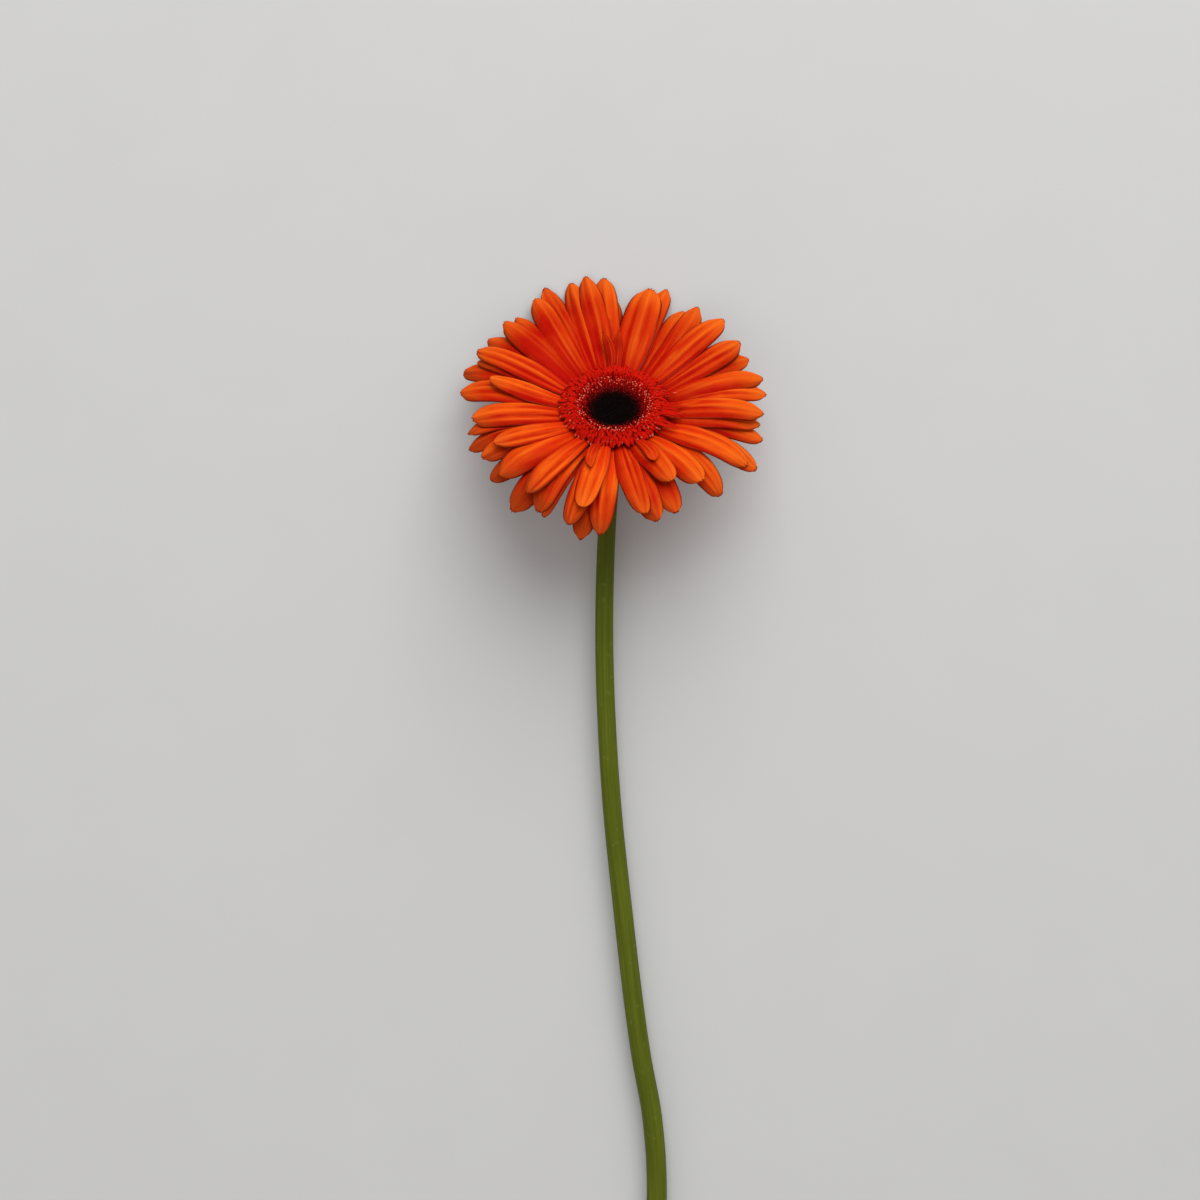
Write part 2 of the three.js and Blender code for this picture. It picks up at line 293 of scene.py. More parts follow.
def noise(start, where, scale, detail=3.0):
    """Plain noise on a set of coordinates, from 0 to 1."""
    inputs = {"Vector": where, "Scale": scale, "Detail": detail}
    return start.node("ShaderNodeTexNoise", None, inputs, 0)


def stretched(start, across, along, wide, long):
    """Strip coordinates scaled apart, so that noise on them runs in streaks."""
    return start.node("ShaderNodeCombineXYZ", None, {0: across * wide, 1: along * long})


def smooth_line(knots, steps):
    """Points along the curve through the knots: Catmull and Rom's spline, with each stretch timed by
    the square root of its length, laid out afresh at equal distances."""
    gaps = np.sqrt(np.linalg.norm(np.diff(knots, axis=0), axis=1))
    gaps = np.concatenate([gaps[:1], gaps, gaps[-1:]])
    knots = np.concatenate([[2 * knots[0] - knots[1]], knots, [2 * knots[-1] - knots[-2]]])
    pieces = []
    share = np.linspace(0, 1, 60, endpoint=False)[:, None]
    for k in range(1, len(knots) - 2):
        before, here, after = gaps[k - 1], gaps[k], gaps[k + 1]
        p0, p1, p2, p3 = knots[k - 1:k + 3]
        m1 = ((p1 - p0) / before - (p2 - p0) / (before + here) + (p2 - p1) / here) * here
        m2 = ((p2 - p1) / here - (p3 - p1) / (here + after) + (p3 - p2) / after) * here
        pieces.append((2 * share**3 - 3 * share**2 + 1) * p1 + (share**3 - 2 * share**2 + share) * m1
                      + (3 * share**2 - 2 * share**3) * p2 + (share**3 - share**2) * m2)
    line = np.concatenate(pieces + [knots[-2:-1]])
    length = np.concatenate([[0], np.cumsum(np.linalg.norm(np.diff(line, axis=0), axis=1))])
    even = np.linspace(0, length[-1], steps)
    return np.stack([np.interp(even, length, line[:, axis]) for axis in range(3)], axis=1), length[-1]


def stem_rings():
    """Circles carried along the stem's line. The radius eases from neck to cut and flares at the top,
    with eleven shallow ribs round it, and past the cut the last rings close over pith and hollow."""
    surface_z = cad_box[0][2] - HEAD[2]
    share = np.clip((STEM_LINE[:, 1] - STEM_LINE[1, 1]) / (STEM_LINE[-1, 1] - STEM_LINE[1, 1]), 0, 1)
    lift = (STEM_NECK_R + STEM_CLEARANCE) * (1 - share) + STEM_CUT_R * share
    low = np.column_stack([STEM_LINE, surface_z / MM + lift])
    neck = np.stack([STEM_TOP * C_AXIS, (STEM_TOP - STEM_STRAIGHT) * C_AXIS])
    line, length = smooth_line(np.concatenate([neck, low]), STEM_RINGS)
    along = np.linspace(0, length, STEM_RINGS)
    radius = STEM_NECK_R + (STEM_CUT_R - STEM_NECK_R) * along / length
    radius += (STEM_FOOT_R - STEM_NECK_R) * np.clip(1 - along / STEM_FLARE, 0, 1) ** 2
    tangent = np.gradient(line, axis=0)
    unit = tangent[-1] / np.linalg.norm(tangent[-1])
    line[-1] -= unit * CUT_EDGE
    line = np.concatenate([line, line[-1] + unit * CUT_DEPTHS[:, None]])
    tangent = np.concatenate([tangent, np.repeat(tangent[-1:], len(CUT_DEPTHS), axis=0)])
    radius = np.concatenate([radius, radius[-1] * CUT_RADII])
    tangent /= np.linalg.norm(tangent, axis=1)[:, None]
    side = A_AXIS - tangent * tangent[:, :1]
    side /= np.linalg.norm(side, axis=1)[:, None]
    up = np.cross(side, tangent)
    angle = np.linspace(0, 2 * math.pi, STEM_SIDES, endpoint=False)
    place = np.arange(len(line))[:, None] / STEM_RINGS
    ribs = RIB_DEPTH * np.cos(RIBS * angle + 2.2 * place)
    oval = OVAL_DEPTH * np.cos(3 * angle + 5.0 * place + 1)
    ring = radius[:, None] * (1 + ribs + oval)
    points = (line[:, None] + side[:, None] * (ring * np.cos(angle))[..., None]
              + up[:, None] * (ring * np.sin(angle))[..., None])
    return HEAD + MM * points[None]


def stem_material():
    """Mid green with darker and lighter streaks along it, a neck darkened as painted shade under the
    head, and a pale cut face.
    """
    material, start, across, along, where = new_material("stem_skin")
    streaks = noise(start, stretched(start, across, along, 26.0, 9.0), 1.0)
    cloud = noise(start, where, 42.0)
    fine = noise(start, where, 900.0)
    freckles = noise(start, where, 420.0, 1.0).ramp(0.66, 0.76)
    skin = streaks.tone([
        (0.3, (0.070, 0.090, 0.003)), (0.55, (0.103, 0.127, 0.005)), (0.8, (0.150, 0.180, 0.010)),
    ])
    skin = (cloud.ramp(0.35, 0.7) * 0.5).mix(skin, (0.072, 0.090, 0.003))
    skin = (freckles * 0.2).mix(skin, (0.20, 0.25, 0.05))
    # Painted shade: the neck darkens towards the head.
    skin = ((1 - along.ramp(0.0, 0.16)) * 0.4).mix(skin, (0.058, 0.074, 0.003))
    cut = along.ramp(0.9705, 0.9712)
    pith = noise(start, where, 1400.0).tone([(0.35, (0.30, 0.38, 0.12)), (0.7, (0.52, 0.58, 0.30))])
    color = cut.mix(skin, pith)
    rough = 0.42 + fine * 0.2 + cut * 0.2
    surface(start, color, rough, streaks * 0.6 + fine * 0.3, 0.00012,
            subsurface=0.1, glow=(0.5, 1.0, 0.1), specular=0.12)
    return material


stem_points = stem_rings()
stem = skins("stem_stalk", stem_points, round_uv(1, stem_points.shape[1], STEM_SIDES))
fit(stem, "stem", stem_material())


# ---- Receptacle -----------------------------------------------------------------------------------
# The green plate and cone that the stem widens into and that every floret sits on. It is one piece of
# plant tissue, turned about the head's axis, and the bracts and petals all but hide it.
RECEPTACLE_PROFILE = np.array([
    [3.4, -13.2], [3.9, -12.9], [5.0, -11.8], [6.4, -10.0], [7.8, -7.9], [8.8, -6.2], [9.2, -5.2],
    [9.25, -3.0], [9.2, -1.0], [9.0, -0.5], [8.4, -0.35], [5.0, -0.3], [1.0, -0.3],
])
RECEPTACLE_SIDES = 96


def receptacle_rings():
    """The profile turned about c, with thirty low furrows where the petals are rooted."""
    bearing = np.linspace(0, 2 * math.pi, RECEPTACLE_SIDES, endpoint=False)
    furrow = 1 + 0.006 * np.cos(30 * bearing)
    radius = RECEPTACLE_PROFILE[:, :1] * furrow
    height = RECEPTACLE_PROFILE[:, 1:] + 0 * bearing
    return on_head(radius, bearing, height)[None]


def green_tissue(name, dark, light, tip, bump):
    """Matt green that pales along the strip, with fine streaks and down on it."""
    material, start, across, along, where = new_material(name)
    streaks = noise(start, stretched(start, across, along, 18.0, 2.0), 1.0)
    down = noise(start, where, 1500.0)
    color = (streaks * 0.6 + down * 0.4).tone([(0.3, dark), (0.7, light)])
    color = (along.ramp(0.7, 1.0) * 0.6).mix(color, tip)
    surface(start, color, 0.55 + down * 0.25, streaks * 0.6 + down * 0.4, bump,
            subsurface=0.1, glow=(0.5, 1.0, 0.1), sheen=0.05, specular=0.2)
    return material


receptacle_points = receptacle_rings()
receptacle = skins("receptacle_plate", receptacle_points,
                   round_uv(1, receptacle_points.shape[1], RECEPTACLE_SIDES))
fit(receptacle, "receptacle",
    green_tissue("receptacle_tissue", (0.08, 0.12, 0.015), (0.20, 0.26, 0.05), (0.28, 0.30, 0.10),
                 0.0001))


# ---- Bracts ---------------------------------------------------------------------------------------
# Two rows of narrow green scales that grow round the receptacle and hold the petals from behind. The
# outer scales are shorter and lie over the gaps of the inner ones.
BRACT_SIDES = 12
BRACT_RINGS = 14
BRACT_THICKNESS = 0.55
BRACT_HOLLOW = -0.35
BRACT_POINT = 1.7


def along_bend(corners, share):
    """A cubic curve through a plane, held by four [radius, height] corners, as radius and height."""
    rest = 1 - share
    weights = np.stack([rest**3, 3 * share * rest**2, 3 * share**2 * rest, share**3])
    return np.einsum("k...,...kd->...d", weights, corners)


def strap_rings(bearing, corners, width, thickness, crown, count, sides, tip, sway=0.0):
    """Flat straps bent along cubic curves that rise from the axis. A ring is a thin lens. Its half
    width follows (1 - share^tip)^0.7 from a narrow foot, and crown lifts its middle."""
    share = np.linspace(0, 1, count)[None, :, None]
    turn = np.linspace(0, 2 * math.pi, sides, endpoint=False)[None, None, :]
    bend = along_bend(corners[:, None, None], np.broadcast_to(share, (len(bearing), count, 1)))
    radius, height = bend[..., 0], bend[..., 1]
    slope = np.gradient(np.stack([radius, height], axis=-1), axis=1)
    slope /= np.linalg.norm(slope, axis=-1, keepdims=True) + 1e-9
    foot = 0.55 + 0.45 * np.clip(share / 0.35, 0, 1)
    half = 0.5 * width[:, None, None] * foot * np.clip(1 - share**tip, 0, 1) ** 0.7 + 0.03
    side = half * np.cos(turn)
    level = 0.5 * thickness * np.sin(turn) * (0.35 + 0.65 * half / half.max())
    level = level + crown * (1 - np.cos(turn) ** 2) * half / half.max()
    out = radius - level * slope[..., 1]
    up = height + level * slope[..., 0]
    return on_head(out, bearing[:, None, None] + sway * share**2, up, side)


def strap_uv(tubes, count, sides):
    """The map of a strap: across runs from 0 at one edge to 1 at the other on both faces."""
    turn = np.linspace(0, 2 * math.pi, sides + 1)
    across, along = np.meshgrid(0.5 + 0.5 * np.cos(turn), np.linspace(0, 1, count))
    return np.broadcast_to(np.stack([across, along], axis=-1), (tubes, count, sides + 1, 2))


def bract_row(name, node, count, start_bearing, corners, width, draw):
    """One row of scales, evenly round the head, each a little different."""
    bearing = start_bearing + np.arange(count) * 2 * math.pi / count + draw.normal(0, 0.02, count)
    bends = np.repeat(np.array(corners)[None], count, axis=0)
    bends[:, 3] += draw.normal(0, 0.35, (count, 2))
    wide = width * draw.uniform(0.9, 1.1, count)
    rings = strap_rings(bearing, bends, wide, BRACT_THICKNESS, BRACT_HOLLOW, BRACT_RINGS, BRACT_SIDES,
                        BRACT_POINT)
    row = skins(name, rings, strap_uv(count, BRACT_RINGS, BRACT_SIDES), draw.uniform(0, 1, count))
    fit(row, node, bract_green)


bract_green = green_tissue(
    "bract_down", (0.045, 0.062, 0.004), (0.115, 0.145, 0.012), (0.17, 0.11, 0.02), 0.00012)
bract_draw = np.random.default_rng(11)
bract_row("bract_scales_inner", "bracts_inner", 24, 0.05,
          [[4.6, -13.4], [8.6, -9.7], [11.0, -6.6], [14.6, -4.3]], 3.3, bract_draw)
bract_row("bract_scales_outer", "bracts_outer", 21, 0.17,
          [[4.9, -13.9], [8.9, -10.7], [11.0, -8.2], [13.0, -6.0]], 3.0, bract_draw)


# ---- Ray petals -----------------------------------------------------------------------------------
# The long orange-red straps. Each is one thin blade on a narrow claw, with three raised bands between
# two furrows, fine veins and a blunt or notched tip, and the four tiers overlap like tiles.
PETAL_ROOT_R = 9.5
PETAL_FULL_R = 52.0
# Heights of the tiers' surfaces. Each starts at its root, rises first and ends at its tip, which is
# higher for petals that point up the face and on the upper tiers.
TIER_ROOT = -3.4
TIER_ROOT_STEP = 0.9
TIER_TIP_STEP = 2.3
TIER_TIP_STEP_TOP = -0.7
PETAL_RISE = 15.0
PETAL_RISE_LESS = 3.0
TIP_LIFT = -2.0
TIP_LIFT_TOP = 6.0
TIP_LIFT_BOTH = 2.5
CLAW_HALF = 0.85
PETAL_THICKNESS = 0.4
PETAL_ROWS = 46
PETAL_COLUMNS = 20
# The blades are this much wider than the widths below, so that neighbours overlap.
PETAL_OVERLAP = 1.08
# Petals are painted deeper red, a painted shade, where they turn away from this direction of the light,
# up and over the head.
PAINTED_LIGHT_FROM = np.array([0.2, 0.77, 0.6])
# Bearings where the petals are redder (or paler, with a minus), how much, and how far that reaches.
# The redder patches at 160 and 318 degrees are painted shade, between brighter petals and on petals
# turned from the light.
REDDER = [(122, -0.5), (160, 0.6), (192, -0.45), (318, 0.85)]
REDDER_REACH = 17.0
# Bearing, reach, widest width and tier of each petal, clockwise, and what presses its tip up.
RAY_PETALS = [
    [14.5, 54, 12.2, 2], [20, 56, 8.5, 1], [29, 51.5, 8.5, 0], [35, 52.5, 8.5, 2],
    [46.5, 54, 9, 3], [57, 53.5, 9.5, 2], [62.5, 54, 8.5, 0], [75, 54.5, 8.5, 2],
    [81, 54.5, 9, 1], [95, 52.5, 9, 3], [97, 51.5, 8.5, 1], [101.5, 53, 8, 0],
    [116, 55, 9, 1], [118, 52.5, 9.5, 2], [133, 50.5, 9.5, 0], [139.5, 46.5, 10, 2],
    [151.5, 41.5, 9, 3], [154, 49, 9.5, 0], [163, 51, 9, 1], [168, 49.5, 8.5, 2], [185.5, 53.5, 9, 1],
    [192.5, 54, 8.5, 0], [193, 49.5, 8.5, 3], [197, 53.5, 8.5, 2], [208.7, 51, 5.5, 0],
    [211, 51, 9.5, 1], [217, 50, 8, 3], [221.5, 53.5, 10, 0], [232.5, 50, 10.5, 2],
    [237, 51, 9, 0], [246, 50.5, 9, 1], [246, 46, 8.5, 3], [255, 52.5, 7, 0],
    [260, 52, 8, 1], [264, 50, 10.5, 2], [280, 55, 10.5, 1], [283.5, 45, 7.5, 3],
    [292, 57.5, 8.5, 0], [295.5, 53.5, 8.5, 1], [298, 55, 8.5, 2], [307.5, 56.5, 8, 0],
    [313.5, 54, 9, 2], [319, 53.5, 7.5, 1], [329.5, 55.5, 8.5, 2], [334.5, 57.5, 9, 1],
    [344, 55.5, 9, 2], [349.5, 56, 8.5, 3], [356.3, 55.5, 9, 1, 1.4], [359, 50, 9.5, 0],
]


def tier_height(radius, bearing, tier):
    """A tier's surface: a first slope from the roots that a cubic term bends to the tip height."""
    share = (radius - PETAL_ROOT_R) / (PETAL_FULL_R - PETAL_ROOT_R)
    up = np.cos(bearing)
    root = TIER_ROOT + TIER_ROOT_STEP * tier
    tip = TIP_LIFT + TIP_LIFT_TOP * up + TIP_LIFT_BOTH * up**2
    tip = tip + tier * (TIER_TIP_STEP + TIER_TIP_STEP_TOP * up)
    rise = PETAL_RISE - PETAL_RISE_LESS * np.maximum(up, 0) ** 2
    return root + rise * share + (tip - root - rise) * share**3


def petal_steps():
    """Shares of the way from a petal's root to its tip, closer together towards the tip."""
    return 1 - (1 - np.linspace(0, 1, PETAL_ROWS)) ** 1.35


def petal_half_width(share, width, widest, blunt):
    """From the claw a quarter sine wave out to the full half width, then a flattened round end."""
    spread = np.sin(math.pi / 2 * np.clip(share / widest, 0, 1)) ** 0.95
    grow = CLAW_HALF + (width / 2 - CLAW_HALF) * spread
    end = np.clip((share - widest) / (1 - widest), 0, 1)
    return grow * (1 - 0.93 * end**3) ** blunt


def petal_rings(bearing, root, reach, width, tier, lift, tapers, draw):
    """A petal's two faces as rings of one flat tube. The tier's surface carries it, and on top come the
    arch across it, two furrows, a slight roll, a ripple along its edges and a curl at the tip."""
    share = petal_steps()[:, None]
    upper = np.linspace(-1, 1, PETAL_COLUMNS + 1)
    across = np.concatenate([upper, upper[-2:0:-1]])[None, :]
    face = np.concatenate([np.ones(PETAL_COLUMNS + 1), -np.ones(PETAL_COLUMNS - 1)])[None, :]
    half = petal_half_width(share, width, draw.uniform(0.56, 0.66), tapers * draw.uniform(0.42, 0.56))
    notch = draw.uniform(0.0, 0.06) * width
    notch = notch * (0.5 - 0.5 * np.cos(3 * math.pi * across + draw.normal(0, 0.5)))
    rounding = draw.uniform(0.03, 0.14) * width * across**2
    radius = root + (reach - root) * share
    radius = radius - (notch + rounding) * np.clip((share - 0.84) / 0.16, 0, 1) ** 2
    side = across * half + draw.normal(0, 0.8) * 4 * share * (1 - share)
    full = half / (width / 2)
    blade = np.clip(share / 0.25, 0, 1)
    arch = draw.uniform(0.1, 0.22) * width * full * np.abs(across) ** 2.1
    furrow_place = draw.uniform(0.26, 0.44)
    furrow = np.exp(-((np.abs(across - draw.normal(0, 0.12)) - furrow_place) / 0.16) ** 2)
    furrow = draw.uniform(0.015, 0.065) * width * furrow * blade * (1 - share**5)
    channel = 0.45 * (1 - blade) * (across**2 - 0.5)
    roll = draw.normal(0, 0.1) * side * share
    wave = 2 * math.pi * (draw.uniform(1.2, 2.0) * share + draw.uniform())
    ripple = 0.25 * np.sin(wave) * across * blade
    curl = draw.normal(-0.03, 0.09) * width * np.clip((share - 0.75) / 0.25, 0, 1) ** 2
    height = tier_height(np.hypot(radius, side), bearing + np.arctan2(side, radius), tier)
    height = height + lift * share**2 - arch - furrow + channel + roll + ripple + curl
    thick = 0.5 * PETAL_THICKNESS * (1 - np.abs(across) ** 4) ** 0.5 * (1.4 - 0.9 * share)
    points = on_head(radius, bearing, height + face * thick, side)
    points[..., 2] = np.maximum(points[..., 2], cad_box[0][2])
    return points


def petal_redness_and_shade(points, own):
    """How red each point is, up to 1: its own petal's share, and painted shade that grows the further
    the skin turns from the light, from none at 20 degrees to all at 46. From 39 degrees on up to 1 more
    is added, a deeper painted shade."""
    upper = points[:, :PETAL_COLUMNS + 1]
    facing = np.cross(np.gradient(upper, axis=1), np.gradient(upper, axis=0))
    facing /= np.linalg.norm(facing, axis=-1, keepdims=True) + 1e-12
    facing = np.abs(facing @ PAINTED_LIGHT_FROM)
    redness = np.clip(own + (0.94 - facing) / 0.25, 0, 1)
    redness += np.clip((0.78 - facing) / 0.2, 0, 1)
    return np.concatenate([redness, redness[:, -2:0:-1]], axis=1)[None]


def petal_uv():
    """The map of a petal: across from 0 to 1 on both faces, along from the root to the tip."""
    upper = np.linspace(0, 1, PETAL_COLUMNS + 1)
    round_trip = np.concatenate([upper, upper[-2::-1]])
    return np.stack(np.meshgrid(round_trip, petal_steps()), axis=-1)[None]


def point_tint(start):
    """The number from 0 up that each point of a piece carries for its colour."""
    return start.node("ShaderNodeAttribute", {"attribute_name": "tint"}, None, 2)


def petal_material(name, stops, vein_and_shade_red, pale, pink, edge):
    """Orange-red skin: a colour along the petal, pale orange patches, thin veins of deeper red, furrows
    painted deeper red as painted shade, and a thin rim, a painted pink highlight beside the blade and
    dark round the tip. tint up to 1 is the redness, partly the petal's own and partly painted shade,
    and from 1 to 2 the painted shade of a tip that hangs back."""
    material, start, across, along, where = new_material(name)
    tint = point_tint(start)
    off_middle = abs(across - 0.5) * 2
    veins = noise(start, stretched(start, across, along, 30.0, 1.6), 1.0)
    streaks = noise(start, start.node("ShaderNodeCombineXYZ", None,
                                      {0: across * 6.0, 1: along * 1.3, 2: tint * 1.5}), 1.0)
    clouds = noise(start, where, 90.0)
    cells = noise(start, where, 2600.0, 1.0)
    inward = 1 - along.ramp(0.72, 1.0) * 0.65
    color = along.tone(stops)
    color = (streaks.ramp(0.42, 0.68) * 0.75 * along.ramp(0.05, 0.5)).mix(color, pale)
    # Painted shade: the furrows turn deeper red.
    furrow = 1 - abs(off_middle - 0.35).ramp(0.02, 0.25)
    color = (furrow * clouds.ramp(0.35, 0.7) * 0.6 * inward).mix(color, vein_and_shade_red)
    color = (veins.ramp(0.48, 0.7) * 0.4).mix(color, vein_and_shade_red)
    # Painted shade: the colour deepens to red as the tint climbs to 1.
    color = (tint.maths("MINIMUM", tint, 1.0) * (0.6 + clouds * 0.6) * inward).mix(color, vein_and_shade_red)
    # Painted shade: tips that hang back turn dark brown as the tint climbs from 1 to 2.
    color = (tint.ramp(1.0, 2.0) * along.ramp(0.62, 0.97) * 0.6).mix(color, edge)
    # Painted highlight: a pink rim along the blade's edges, fading towards the tip.
    rim = off_middle.ramp(0.92, 0.99)
    color = (rim * 0.6 * (1 - along.ramp(0.5, 0.8))).mix(color, pink)
    tip_rim = rim.maths("MAXIMUM", off_middle.ramp(0.86, 0.97), along.ramp(0.985, 0.998))
    color = (tip_rim * 0.8 * along.ramp(0.5, 0.85)).mix(color, edge)
    rough = 0.5 + cells * 0.14 - veins * 0.08
    surface(start, color, rough, veins * 0.7 + cells * 0.2, 0.00016, subsurface=0.12,
            glow=(1.0, 0.15, 0.02), specular=0.02)
    return material


ray_skin = petal_material(
    "ray_petal_skin",
    [(0.0, (0.48, 0.006, 0.001)), (0.2, (0.62, 0.019, 0.001)), (0.5, (0.70, 0.040, 0.002)),
     (0.8, (0.78, 0.090, 0.004)), (1.0, (0.81, 0.145, 0.012))],
    (0.43, 0.003, 0.0005), (0.87, 0.165, 0.008), (0.85, 0.20, 0.09), (0.20, 0.016, 0.004))

petal_draw = np.random.default_rng(7)
for number, row in enumerate(RAY_PETALS, 1):
    bearing, reach, width, tier = row[:4]
    lift = row[4] if len(row) > 4 else 0.0
    rings = petal_rings(math.radians(bearing), PETAL_ROOT_R, reach, width * PETAL_OVERLAP, tier, lift,
                        1.0, petal_draw)
    # Own redness: painted shade on the lower tiers, which lie under the upper ones, a random tone of
    # each petal and the bearings' patches.
    own = 0.36 - 0.1 * tier + petal_draw.normal(0, 0.13)
    own += sum(more * math.exp(-((bearing - place) / REDDER_REACH) ** 2) for place, more in REDDER)
    redness = petal_redness_and_shade(rings, own)
    petal = skins(f"ray_petal_blade_{number:02d}", rings[None], petal_uv(), redness)
    fit(petal, f"ray_petal_{number:02d}", ray_skin)


# ---- Inner petals ---------------------------------------------------------------------------------
# Four small red petals from between the rays and the disc: two hang over the lower rays and two
# stand up in front of the upper ones.
INNER_ROOT_R = 15.0
INNER_TIER = 4
INNER_TAPER = 2.6
# Bearing, reach, widest width, lift of the tip and own redness.
INNER_PETALS = [
    [155, 33, 5, 0.6, -0.5], [194, 33.5, 4, 0.4, 0.0], [352, 30, 3.8, 4, -0.3], [3, 30.5, 3.4, 4, -0.3],
]

inner_skin = petal_material(
    "inner_petal_skin",
    [(0.0, (0.40, 0.005, 0.001)), (0.5, (0.54, 0.016, 0.001)), (0.9, (0.66, 0.050, 0.003)),
     (1.0, (0.58, 0.045, 0.004))],
    (0.34, 0.004, 0.001), (0.72, 0.08, 0.004), (0.80, 0.12, 0.05), (0.22, 0.015, 0.004))

inner_draw = np.random.default_rng(23)
for number, (bearing, reach, width, lift, own) in enumerate(INNER_PETALS, 1):
    rings = petal_rings(math.radians(bearing), INNER_ROOT_R, reach, width, INNER_TIER, lift,
                        INNER_TAPER, inner_draw)
    # Painted shade where the skin turns from the light; the deeper painted shade above 1 is cut off.
    redness = np.minimum(petal_redness_and_shade(rings, own), 1)
    petal = skins(f"inner_petal_blade_{number}", rings[None], petal_uv(), redness)
    fit(petal, f"inner_petal_{number}", inner_skin)


# ---- Ring florets ---------------------------------------------------------------------------------
# Rows of short red straps that stand round the disc and arch outwards over the petals' roots. The
# lowest row is the longest, and a few straps on one side run far out.
STRAP_RINGS = 11
STRAP_SIDES = 6
STRAP_THICKNESS = 0.35
STRAP_CROWN = 0.25
STRAP_BLUNTNESS = 6.0
STRAP_ROWS = [
    # straps, [radius, height] corners of the bend, width, spread of the tips
    (96, [[12.6, 0.8], [14.6, 4.2], [17.6, 4.7], [19.6, 2.5]], 1.6, (0.45, 0.3)),
    (92, [[12.6, 1.2], [14.4, 4.9], [16.8, 5.3], [18.6, 3.3]], 1.45, (0.45, 0.3)),
    (88, [[12.5, 1.6], [14.1, 5.3], [16.0, 5.9], [17.6, 4.1]], 1.3, (0.4, 0.3)),
    (84, [[12.4, 1.9], [13.8, 5.4], [15.2, 6.3], [16.6, 4.8]], 1.15, (0.35, 0.3)),
    (80, [[12.3, 2.1], [13.4, 5.3], [14.5, 6.4], [15.6, 5.2]], 1.0, (0.3, 0.3)),
    (74, [[12.2, 2.3], [13.0, 5.2], [13.8, 6.2], [14.7, 5.4]], 0.9, (0.3, 0.3)),
]
# On the low side of the head the straps' tips are drawn in and down by this much.
LOW_SIDE_CURL = (-0.7, -0.3)
LONG_STRAPS = (16, [[12.6, 1.2], [15.0, 5.2], [19.0, 5.6], [24.0, 4.4]], 1.3, (1.3, 0.4))
LONG_FROM, LONG_TO = math.radians(78), math.radians(125)


def ring_rows(draw):
    """The straps' bearings, bends and widths, row after row, each strap a little different."""
    bearings = []
    bends = []
    widths = []
    for row, (count, corners, width, spread) in enumerate(STRAP_ROWS):
        even = (np.arange(count) + 0.37 * row) * 2 * math.pi / count
        bearings.append(even + draw.normal(0, 0.02, count))
        bends.append(np.array(corners)[None] + np.zeros((count, 1, 1)))
        widths.append(width * draw.uniform(0.8, 1.2, count))
        bends[-1][:, 3] += draw.normal(0, 1, (count, 2)) * spread
        bends[-1][:, 3] += np.clip(-np.cos(bearings[-1]), 0, 1)[:, None] * LOW_SIDE_CURL
    count, corners, width, spread = LONG_STRAPS
    bearings.append(draw.uniform(LONG_FROM, LONG_TO, count))
    bends.append(np.array(corners)[None] + np.zeros((count, 1, 1)))
    widths.append(width * draw.uniform(0.7, 1.1, count))
    bends[-1][:, 3] += draw.normal(0, 1, (count, 2)) * spread
    return np.concatenate(bearings), np.concatenate(bends), np.concatenate(widths)


def floret_material(name, root, middle, tip, pale):
    """Soft red florets, darker down in the disc, with painted highlights: pale edges and pale tips."""
    material, start, across, along, where = new_material(name)
    tint = point_tint(start)
    grain = noise(start, where, 1800.0)
    color = along.tone([(0.0, root), (0.5, middle), (1.0, tip)])
    color = (tint * 0.4).mix(color, root)
    # Painted highlight: pale edges, mostly on straps of low tint.
    rim = (abs(across - 0.5) * 2).ramp(0.7, 1.0) * along.ramp(0.5, 0.95)
    color = (rim * (1 - tint.ramp(0.1, 0.5)) * 0.6).mix(color, pale)
    # Painted highlight: pale tips on straps whose tint is above 0.5.
    color = (along.ramp(0.84, 0.94) * tint.ramp(0.5, 0.75) * 0.85).mix(color, pale)
    color = (grain.ramp(0.45, 0.75) * 0.3).mix(color, root)
    surface(start, color, 0.6 + grain * 0.2, grain, 0.0001, subsurface=0.1, glow=(1.0, 0.1, 0.03),
            scale=0.0008, specular=0.03)
    return material


ring_draw = np.random.default_rng(31)
strap_bearing, strap_bend, strap_width = ring_rows(ring_draw)
strap_sway = ring_draw.normal(0, 0.05, len(strap_bearing))[:, None, None]
strap_points = strap_rings(strap_bearing, strap_bend, strap_width, STRAP_THICKNESS, STRAP_CROWN,
                           STRAP_RINGS, STRAP_SIDES, STRAP_BLUNTNESS, strap_sway)
# A tint above 0.5 gives a pale tip, a painted highlight: half of the straps have one on the low side
# of the head, fewer at the sides and none at the top.
strap_tint = ring_draw.uniform(0, 1, len(strap_bearing)) * (0.75 - 0.25 * np.cos(strap_bearing))
ring = skins("ring_floret_straps", strap_points, strap_uv(len(strap_bearing), STRAP_RINGS, STRAP_SIDES),
             strap_tint)
fit(ring, "ring_florets",
    floret_material("ring_floret_red", (0.22, 0.002, 0.001), (0.55, 0.005, 0.001), (0.61, 0.009, 0.001),
                    (0.92, 0.24, 0.13)))


